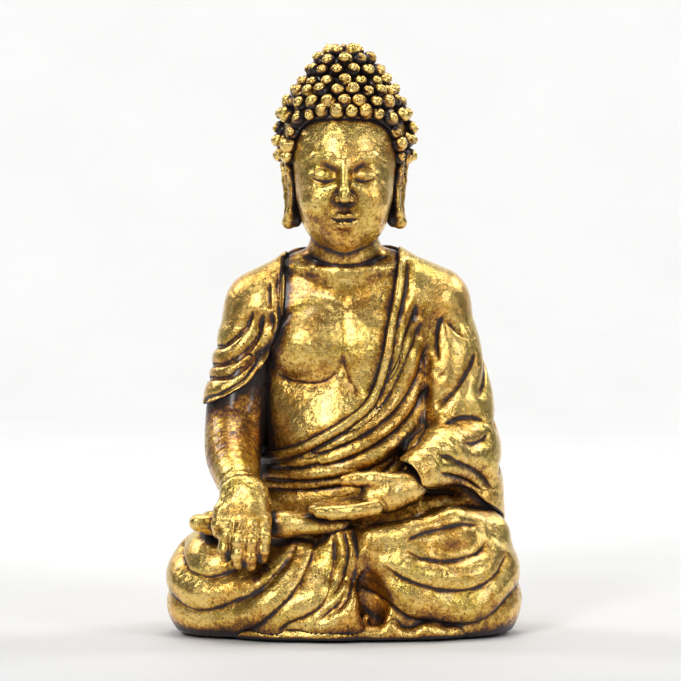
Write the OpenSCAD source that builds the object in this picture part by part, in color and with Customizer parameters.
// A seated figure in a draped robe, cast hollow in filled resin and finished in antique gold.
// It faces -Y, with its left hand side at +X, and it stands on the plane Z = 0.
// Every place below is in millimetres on the figure at its drawn height, and the whole is scaled from there.

/* [Figure] */
// Height from the table to the top curl
figure_h = 300; // [150:10:600]
// Wall of the hollow casting, at the drawn height
wall = 5; // [3.5:0.5:7]

/* [Robe] */
// How far the robe stands off the body
robe_t = 2.4; // [1.6:0.2:3.2]
// Radius of a raised fold
fold_r = 2.2; // [1.6:0.2:2.8]

/* [Hair] */
// Distance between neighbouring curls
curl_pitch = 7.4; // [6.5:0.1:9]
// Radius of a curl at its foot
curl_r = 3.3; // [2.6:0.1:3.6]
// Height of a curl
curl_h = 4.6; // [3:0.2:6]

/* [Base] */
// Thickness of the felt pads
pad_t = 1.5; // [1:0.5:3]
// Radius of a felt pad
pad_r = 9; // [6:1:11]
// Thickness of the closing plate
plate_t = 3; // [2:0.5:4]

/* [Hidden] */

// The figure is drawn from its own ground plane to the tip of its top curl.
ground_z = 4.5;
drawn_top = 299.6;
k = figure_h / (drawn_top - ground_z);
// What brings the middle of the whole outline over the origin.
centring = [0.3, 1.7];

gold = [0.78, 0.60, 0.22];
dark_gold = [0.62, 0.45, 0.14];
pale_gold = [0.88, 0.72, 0.36];
plate_grey = [0.35, 0.33, 0.30];
felt_black = [0.12, 0.12, 0.12];

// Head: the skull below the hair, the face and the neck.
skull_at = [0, 12, 244];
skull_r = [29, 31, 31];
face_at = [0, -3, 228];
face_r = [24.5, 22, 31.5];
chin_at = [0, -14, 206];
neck_low = [0, 13, 186];
neck_top = [0, 8, 206];

// Hair: the cap's own half outline as [radius, height], a little deeper than it is wide.
hair_y = 12.5;
hair_deep = 1.05;
hair_outline = [
    [0, 295.8], [10, 293], [17, 287.5], [21, 279], [25, 271], [29.5, 264], [32, 255], [32.5, 246],
    [31, 236], [28.5, 226], [25, 216], [18, 208], [8, 205]
];
hairline_z = 259;

// Trunk, from the seat to the yoke of the shoulders.
seat_at = [0, 22, 44];
seat_r = [66, 37, 50];
belly_at = [0, 14, 92];
belly_r = [44, 37, 40];
chest_at = [0, 16, 142];
chest_r = [47, 31, 42];
yoke_r = [[[-41, 17, 166], 17], [[-21, 16, 179], 13], [[21, 16, 180], 13], [[43, 17, 167], 18.5]];

// Arms, each a chain of [place, radius] from the shoulder.
right_upper = [[[-40, 16, 166], 15], [[-46, 13, 150], 16], [[-51, 9, 128], 16.5], [[-54, 4, 104], 15.5]];
right_fore = [[[-54, 2, 103], 14.5], [[-53, -18, 91], 13], [[-48.5, -38, 80], 10.5]];
left_upper = [[[43, 16, 166], 18.5], [[49, 14, 148], 19.5], [[54, 10, 126], 20], [[58, 6, 98], 20.5], [[60, 4, 80], 20], [[62, 3, 64], 20]];
left_fore = [[[58, 0, 84], 19], [[46, -22, 80], 16.5], [[33, -36, 76], 12]];

// Legs folded flat, each a chain from the hip round the knee to the shin.
right_thigh = [[[-28, 22, 36], 31], [[-50, 4, 32], 31], [[-57, -15, 28], 31.5]];
right_shin = [[[-56, -18, 24], 30], [[-34, -34, 22], 24], [[0, -40, 20], 20]];
left_thigh = [[[28, 22, 38], 31], [[50, 5, 34], 30.5], [[57, -13, 32], 31]];
left_low = [[[58, -12, 22], 30], [[50, 4, 24], 30]];
left_shin = [[[55, -18, 30], 30], [[34, -32, 34], 24], [[8, -36, 42], 17]];
foot_chain = [[[-8, -38, 60], 8.5], [[-34, -42, 60], 8.5], [[-56, -40, 61], 7.5], [[-68, -38, 61.5], 6.5]];

// Hands: a palm, a thumb and four fingers each.
right_palm = [[[-48, -44, 74], 10], [[-46, -51, 64], 9.5]];
right_fingers = [
    [[[-55, -54, 66], 4.2], [[-57, -58, 56], 3.8], [[-56.5, -58, 48], 3.3]],
    [[[-50, -56, 63], 4.2], [[-51.5, -60.5, 53], 3.8], [[-51, -60, 45.5], 3.3]],
    [[[-44.5, -56, 62], 4.2], [[-45.5, -61, 52], 3.8], [[-45.5, -60.5, 44.5], 3.3]],
    [[[-39, -55, 63], 4], [[-39.5, -59.5, 54], 3.6], [[-40, -59.5, 47], 3.1]]
];
right_thumb = [[[-56, -47, 74], 4.8], [[-61, -50, 66], 4.2], [[-62, -52, 59], 3.4]];
left_palm = [[[29, -40, 76], 8.5], [[14, -44, 74], 8]];
left_fingers = [
    [[[12, -50, 71], 4.2], [[-2, -52.5, 68.5], 3.8], [[-13, -51, 68.5], 3.2]],
    [[[12, -46, 72], 4.2], [[-3, -48, 69.5], 3.8], [[-15, -46.5, 69.5], 3.2]],
    [[[12, -41, 73], 4.2], [[-3, -43, 70.5], 3.8], [[-14, -42, 70], 3.2]],
    [[[12, -36, 74], 4], [[-2, -38, 71], 3.6], [[-11, -37.5, 70.5], 3]]
];
left_thumb = [[[24, -44, 80], 4.6], [[12, -46, 82.5], 4], [[1, -45, 83], 3.2]];
toes = [for (i = [0 : 4]) [[-70 - (i == 0 ? 1.5 : 0), -41 + 3.6 * i, 62.5 - 0.7 * i], i == 0 ? 4.6 : 3.6]];

// Edges and folds as seen from the front, each a list of [x, z].
robe_edge = [[27, 205], [26, 174], [22, 152], [17, 134], [10, 120], [0, 111], [-12, 104], [-32, 95], [-46, 92]];
shawl_edge = [[-27, 205], [-30, 164], [-33, 151], [-39, 139], [-47, 129], [-56, 123], [-68, 117], [-90, 111]];
robe_fold_gap = 7;
shawl_fold_gap = 7.5;
sleeve_folds = [
    [[52, 165], [57, 150], [59, 136], [52, 122], [42, 110]],
    [[63, 160], [70, 140], [71, 125], [58, 112], [46, 104]],
    [[40, 97], [56, 104], [70, 102], [78, 92]],
    [[34, 85], [50, 90], [66, 86], [79, 76]]
];
right_leg_folds = [
    [[-84, 46], [-76, 44], [-64, 43], [-52, 47], [-40, 51]],
    [[-88, 33], [-78, 26], [-64, 25], [-50, 31], [-36, 43], [-29, 51]],
    [[-84, 10], [-66, 8], [-50, 12], [-36, 22], [-25, 35], [-18, 50]]
];
left_leg_folds = [
    [[24, 54], [40, 61], [60, 62], [74, 59]],
    [[34, 49], [50, 50], [66, 51]],
    [[22, 43], [38, 38], [56, 36], [74, 40], [81, 49]],
    [[16, 33], [28, 27], [46, 19], [64, 18], [80, 27], [87, 38]],
    [[18, 16], [32, 8], [52, 5], [72, 8], [84, 15]]
];
pleat_folds = [for (i = [0 : 3]) [[-7 + 5 * i, 58], [-7 + 5.5 * i, 36], [-10 + 6.5 * i, 20], [-13 + 9 * i, 5]]];
hem_waves = 9;
hem_x = -44;
hem_step = 12;
// Half the width of the pleated piece between the two legs.
pleats_half = 14;

sole_z = ground_z + pad_t;
// Where the pieces in front part from the drape behind them.
back_y = 20;
// How far a front fold is drawn through the figure.
reach = 200;

module ball(at, r) {
    translate(at) sphere(r, $fn = r > 12 ? 21 : r > 5 ? 13 : 8);
}

module blob(at, r) {
    translate(at) scale(r) sphere(1, $fn = 28);
}

// A round bar through a chain of [place, radius], grown on every side.
module limb(chain, grow = 0) {
    for (i = [0 : len(chain) - 2])
        hull() {
            ball(chain[i][0], chain[i][1] + grow);
            ball(chain[i + 1][0], chain[i + 1][1] + grow);
        }
}

// Bars seen from the front as lines through [x, z], drawn from the back plane towards the viewer.
module ribbons(paths, r = fold_r) {
    translate([0, back_y, 0])
        rotate([90, 0, 0])
            linear_extrude(reach)
                for (path = paths)
                    for (i = [0 : len(path) - 2])
                        hull() {
                            translate(path[i]) circle(r, $fn = 8);
                            translate(path[i + 1]) circle(r, $fn = 8);
                        }
}

// A line beside another one, to its left as it runs.
function beside(path, d) = [
    for (i = [0 : len(path) - 1])
        let (a = path[max(i - 1, 0)], b = path[min(i + 1, len(path) - 1)], t = (b - a) / norm(b - a))
            path[i] + d * [-t[1], t[0]]
];

// All that stands above the pads.
module above_sole() {
    translate([-reach, -reach, sole_z]) cube([2 * reach, 2 * reach, 2 * reach]);
}

module trunk_form(grow = 0) {
    hull() {
        blob(seat_at, seat_r + [grow, grow, grow]);
        blob(belly_at, belly_r + [grow, grow, grow]);
    }
    hull() {
        blob(belly_at, belly_r + [grow, grow, grow]);
        blob(chest_at, chest_r + [grow, grow, grow]);
    }
    hull() {
        limb(yoke_r, grow);
        blob(chest_at + [0, 0, -4], chest_r * 0.85 + [grow, grow, grow]);
    }
}

module neck_form() {
    limb([[neck_low, 18.5], [neck_top, 17]]);
}

module right_leg_form(grow = 0) {
    hull() limb(right_thigh, grow);
    hull() limb(right_shin, grow);
}

module left_leg_form(grow = 0) {
    hull() {
        limb(left_thigh, grow);
        limb(left_low, grow);
    }
    hull() {
        limb(left_shin, grow);
        ball([52, -22, 20], 28 + grow);
        ball([20, -36, 18], 18 + grow);
    }
}

module hollow() {
    difference() {
        union() {
            trunk_form(-wall);
            right_leg_form(-wall);
            left_leg_form(-wall);
        }
        translate([-reach, -reach, 170]) cube([2 * reach, 2 * reach, reach]);
    }
}

module head_form() {
    hull() {
        blob(skull_at, skull_r - [2, 2, 2]);
        blob(face_at, face_r);
    }
    hull() {
        blob(face_at, face_r * 0.92);
        ball(chin_at, 10);
    }
    neck_form();
}

module hair_form() {
    difference() {
        translate([0, hair_y, 0])
            scale([1, hair_deep, 1])
                rotate_extrude($fn = 36)
                    polygon(concat(hair_outline, [[0, 205]]));
        // The face is open below the hairline, back to the ears.
        hull() {
            translate([0, -60, hairline_z - 24]) rotate([-90, 0, 0]) cylinder(r = 24, h = 58, $fn = 48);
            translate([0, -60, 190]) rotate([-90, 0, 0]) cylinder(r = 27, h = 62, $fn = 48);
        }
    }
}

// All that lies to one side of an edge seen from the front.
module front_region(edge, far_x) {
    translate([0, back_y, 0])
        rotate([90, 0, 0])
            linear_extrude(reach)
                polygon(concat(edge, [[edge[len(edge) - 1][0], 50], [far_x, 50], [far_x, 205]]));
}

module shawl_form(grow) {
    limb(right_upper, grow);
    trunk_form(grow);
}

module sleeve_form() {
    limb(left_upper);
    hull() limb(left_fore);
}

function hand_chains(fingers, thumb) = concat(fingers, [thumb]);

module hand_form(palm, fingers, thumb, narrow) {
    hull() {
        ball(palm[0][0] - narrow, palm[0][1] * 0.82);
        ball(palm[0][0] + narrow, palm[0][1] * 0.82);
        for (f = fingers) ball(f[0][0], f[0][1]);
    }
    for (f = hand_chains(fingers, thumb)) limb(f);
}

module foot_form() {
    hull() limb(foot_chain);
    for (t = toes) ball(t[0], t[1]);
}

// The hair outline by the length walked along it.
function walked(i) = i == 0 ? 0 : walked(i - 1) + norm(hair_outline[i] - hair_outline[i - 1]);
radius_at = [for (i = [0 : len(hair_outline) - 1]) [walked(i), hair_outline[i][0]]];
height_at = [for (i = [0 : len(hair_outline) - 1]) [walked(i), hair_outline[i][1]]];
function outline_at(s) = [lookup(s, radius_at), lookup(s, height_at)];

// Hair grows at a place unless that is on the face or the ears.
function haired(p) =
    !(p[1] < 2 && p[2] < hairline_z + 2 - 0.02 * p[0] * p[0])
    && !(abs(p[0]) > 20 && p[1] < 20 && p[2] < 239);

row_gap = curl_pitch * 0.88;
row_count = floor(walked(len(hair_outline) - 2) / row_gap);

// Every curl as [place, direction], in rows round the cap, each row turned half a step.
curls = [
    for (i = [0 : row_count])
        let (
            here = outline_at(i * row_gap),
            t = outline_at(i * row_gap + 1) - outline_at(max(0, i * row_gap - 1)),
            out = i == 0 ? [0, 1] : [-t[1], t[0]] / norm(t),
            count = max(1, round(2 * PI * here[0] * (1 + hair_deep) / 2 / curl_pitch))
        )
            for (j = [0 : count - 1])
                let (
                    turn = 360 * (j + (i % 2) / 2) / count - 90,
                    place = [here[0] * cos(turn), hair_y + hair_deep * here[0] * sin(turn), here[1]]
                )
                    if (haired(place)) [place, [out[0] * cos(turn), out[0] * sin(turn), out[1]]]
];

module curl(place, d) {
    translate(place - 0.8 * d)
        rotate([0, acos(d[2] / norm(d)), atan2(d[1], d[0])])
            cylinder(h = curl_h, r1 = curl_r, r2 = curl_r * 0.35, $fn = 24);
}

// The room inside the head, which keeps the casting's wall even and opens down through the neck.
module head_room() {
    hull() {
        ball([0, 14, 246], 22);
        ball([0, 6, 232], 16);
    }
    limb([[[0, 10, 228], 10], [[0, 12, 160], 10]]);
}

module head() {
    color(gold)
        resize([0, 0, 0])
            difference() {
                union() {
                    head_form();
                    limb([[[0, -21.5, 240], 2.6], [[0, -27, 221.5], 3.8]]);
                    for (s = [-1, 1]) {
                        ball([4 * s, -24.5, 220.5], 2.8);
                        blob([10 * s, -17.5, 233], [6.5, 5, 4.2]);
                    }
                    hull() for (s = [-1, 1]) ball([5.5 * s, -22, 211.5], 2.6);
                }
                head_room();
            }
}

module hair_cap() {
    color(dark_gold)
        difference() {
            hair_form();
            head_form();
            head_room();
            for (s = [-1, 1]) ear_form(s);
        }
}

module hair_curls() {
    color(gold)
        for (c = curls) curl(c[0], c[1]);
}

module urna() {
    color(pale_gold) translate([0, -18.6, 248]) rotate([75, 0, 0]) cylinder(h = 2, r1 = 2.4, r2 = 1.5, $fn = 32);
}

module ear_form(side) {
    hull() {
        limb([[[27.5 * side, 8, 236], 4.5], [[28.6 * side, 6, 226], 3.5]]);
    }
    limb([[[28.6 * side, 6, 228], 4.2], [[28 * side, 4, 214], 3.6], [[28.8 * side, 3, 206.5], 4.6]]);
}

module ear(side) {
    color(gold)
        resize([0, 0, 0])
            difference() {
                ear_form(side);
                head_form();
            }
}

module torso() {
    color(gold)
        difference() {
            trunk_form();
            neck_form();
            hollow();
            translate([-reach, back_y, -reach]) cube([2 * reach, reach, 3 * reach]);
            translate([-reach, -reach, -reach]) cube([2 * reach, 2 * reach, reach + 62]);
        }
}

// The wrist's flat joint, square to the forearm's last stretch.
module beyond_wrist(chain) {
    a = chain[len(chain) - 2][0];
    b = chain[len(chain) - 1][0];
    d = (b - a) / norm(b - a);
    translate(b) rotate([0, acos(d[2]), atan2(d[1], d[0])]) cylinder(h = 40, r = 30, $fn = 32);
}

module right_arm() {
    color(gold)
        difference() {
            union() {
                limb(right_upper);
                limb(right_fore);
            }
            trunk_form();
            right_leg_form();
            hand_form(right_palm, right_fingers, right_thumb, [5, 0, 0]);
            beyond_wrist(right_fore);
            translate([-reach, back_y, -reach]) cube([2 * reach, reach, 3 * reach]);
        }
}

module right_hand() {
    color(pale_gold)
        difference() {
            hand_form(right_palm, right_fingers, right_thumb, [5, 0, 0]);
            foot_form();
            right_leg_form();
        }
}

module left_hand() {
    color(pale_gold)
        difference() {
            hand_form(left_palm, left_fingers, left_thumb, [0, 3, 0]);
            foot_form();
            left_leg_form();
            trunk_form(robe_t);
        }
}

module left_foot() {
    color(gold)
        difference() {
            foot_form();
            right_leg_form();
            left_leg_form();
            trunk_form(robe_t);
        }
}

module right_shawl() {
    color(gold)
        difference() {
            intersection() {
                union() {
                    shawl_form(robe_t);
                    intersection() {
                        shawl_form(robe_t + fold_r * 0.6);
                        ribbons([for (i = [0 : 3]) beside(shawl_edge, -2 - shawl_fold_gap * i)]);
                    }
                }
                front_region(shawl_edge, -120);
            }
            trunk_form();
            limb(right_upper);
            neck_form();
        }
}

module robe() {
    color(gold)
        difference() {
            intersection() {
                union() {
                    trunk_form(robe_t);
                    intersection() {
                        trunk_form(robe_t + fold_r * 0.7);
                        ribbons([for (i = [0 : 5]) beside(robe_edge, 2 + robe_fold_gap * i)]);
                    }
                }
                front_region(robe_edge, 120);
            }
            trunk_form();
            neck_form();
            sleeve_form();
            translate([-reach, -reach, -reach]) cube([2 * reach, 2 * reach, reach + 62]);
        }
}

module left_sleeve() {
    color(gold)
        difference() {
            union() {
                sleeve_form();
                intersection() {
                    limb(left_upper, fold_r * 0.7);
                    ribbons(sleeve_folds);
                }
            }
            trunk_form();
            hollow();
            left_leg_form();
            hand_form(left_palm, left_fingers, left_thumb, [0, 3, 0]);
            translate([-reach, back_y, -reach]) cube([2 * reach, reach, 3 * reach]);
        }
}

module right_leg() {
    color(gold)
        difference() {
            intersection() {
                union() {
                    right_leg_form();
                    intersection() {
                        right_leg_form(fold_r * 0.8);
                        ribbons(right_leg_folds, fold_r * 1.4);
                    }
                }
                above_sole();
            }
            hollow();
            left_leg_form();
            translate([-pleats_half, -reach, 0]) cube([2 * reach, 2 * reach, reach]);
            translate([-reach, back_y, 0]) cube([2 * reach, reach, reach]);
            plate_form(0);
        }
}

module left_leg() {
    color(gold)
        difference() {
            intersection() {
                union() {
                    left_leg_form();
                    intersection() {
                        left_leg_form(fold_r * 0.8);
                        ribbons(left_leg_folds, fold_r * 1.4);
                    }
                }
                above_sole();
            }
            hollow();
            translate([pleats_half - 2 * reach, -reach, 0]) cube([2 * reach, 2 * reach, reach]);
            translate([-reach, back_y, 0]) cube([2 * reach, reach, reach]);
            plate_form(0);
        }
}

module front_form(grow = 0) {
    hull() {
        ball([0, -36, 50], 10 + grow);
        ball([-10, -38, 16], 18 + grow);
        ball([12, -38, 16], 18 + grow);
    }
}

module front_pleats() {
    color(dark_gold)
        difference() {
            intersection() {
                union() {
                    front_form();
                    right_leg_form();
                    left_leg_form();
                    intersection() {
                        front_form(fold_r * 0.8);
                        ribbons(pleat_folds, fold_r * 0.8);
                    }
                }
                above_sole();
                translate([-pleats_half, -reach, 0]) cube([2 * pleats_half, reach + back_y, 62]);
            }
            hollow();
            trunk_form();
            foot_form();
            hand_form(left_palm, left_fingers, left_thumb, [0, 3, 0]);
            plate_form(0);
        }
}

// The wavy end of the robe where it lies on the ground before the shins.
module base_hem() {
    color(pale_gold)
        difference() {
            intersection() {
                for (i = [0 : hem_waves - 1])
                    hull() {
                        ball([hem_x + hem_step * i, -48 - 3 * (i % 2), ground_z + 4], 6 + 1.5 * (i % 2));
                        ball([hem_x + hem_step * (i + 0.8), -48, ground_z + 3], 5);
                    }
                above_sole();
            }
            hollow();
            right_leg_form();
            left_leg_form();
            front_form();
            plate_form(0);
        }
}

module back_drape() {
    color(dark_gold)
        difference() {
            intersection() {
                union() {
                    trunk_form(robe_t);
                    right_leg_form();
                    left_leg_form();
                    shawl_form(robe_t);
                    sleeve_form();
                }
                above_sole();
                translate([-reach, back_y, 0]) cube([2 * reach, reach, 2 * reach]);
            }
            hollow();
            neck_form();
            plate_form(0);
        }
}

// The closing plate's outline: the hollow's own outline at the ground, a little inside it.
module plate_form(gap) {
    translate([0, 0, sole_z])
        linear_extrude(plate_t)
            hull() {
                for (s = [-1, 1]) {
                    translate([54 * s, -14]) circle(r = 22 - gap, $fn = 64);
                    translate([30 * s, 28]) circle(r = 18 - gap, $fn = 64);
                }
            }
}

module base_plate() {
    color(plate_grey) plate_form(0.1);
}

module felt_pads() {
    color(felt_black)
        for (s = [-1, 1])
            for (at = [[50 * s, -22], [32 * s, 28]])
                translate([at[0], at[1], ground_z]) cylinder(h = pad_t, r = pad_r, $fn = 48);
}

// From the figure's own ground plane and drawn height to the table and the height asked for.
module placed() {
    scale(k) translate([centring[0], centring[1], -ground_z]) children();
}

placed() head();
placed() hair_cap();
placed() hair_curls();
placed() urna();
placed() ear(-1);  // right_ear
placed() ear(1);  // left_ear
placed() torso();
placed() right_shawl();
placed() right_arm();
placed() right_hand();
placed() robe();
placed() left_sleeve();
placed() left_hand();
placed() left_foot();
placed() right_leg();
placed() left_leg();
placed() front_pleats();
placed() base_hem();
placed() back_drape();
placed() base_plate();
placed() felt_pads();
